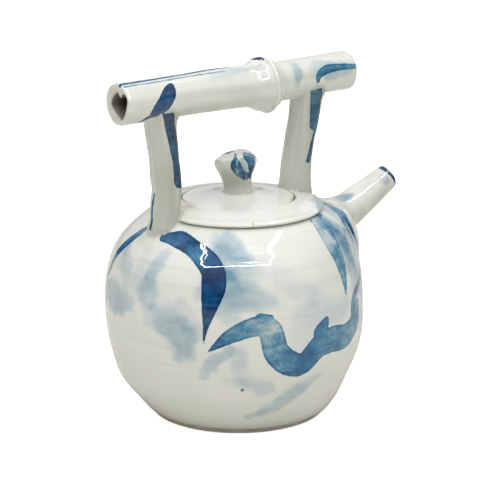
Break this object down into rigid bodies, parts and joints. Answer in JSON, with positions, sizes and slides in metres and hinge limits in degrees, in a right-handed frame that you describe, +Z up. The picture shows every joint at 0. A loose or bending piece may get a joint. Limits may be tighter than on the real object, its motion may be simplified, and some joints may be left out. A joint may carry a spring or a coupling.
{
  "type": "overhead-handled teapot",
  "caption": "Round glazed porcelain teapot with a straight spout, an overhead bamboo-shaped handle on posts, and a lift-off knobbed lid; loose cobalt brushwork.",
  "frame": {"origin": "centre of the flat base on the table", "axes": "+Z up, +X towards the spout and along the handle bar, Y across the pot"},
  "size_m": [0.1856, 0.14, 0.1958],
  "materials": {
    "glazed_porcelain": "glossy clear glaze over white porcelain with cobalt brushwork",
    "bare_porcelain": "matt unglazed porcelain"
  },
  "bodies": {
    "pot": {"pot_body": "glazed_porcelain", "turned_foot": "bare_porcelain", "lid_collar": "glazed_porcelain", "spout": "glazed_porcelain", "back_post": "glazed_porcelain", "front_post": "glazed_porcelain", "handle_bar": "glazed_porcelain", "bamboo_node": "glazed_porcelain", "twig_bud": "glazed_porcelain"},
    "lid": {"lid_plate": "glazed_porcelain", "lid_flange": "bare_porcelain", "lid_knob": "glazed_porcelain"}
  },
  "joints": [
    {"name": "lid_lift", "type": "slide", "parent": "pot", "child": "lid", "axis": [0, 0, 1], "range_m": [0, 0.022]}
  ]
}
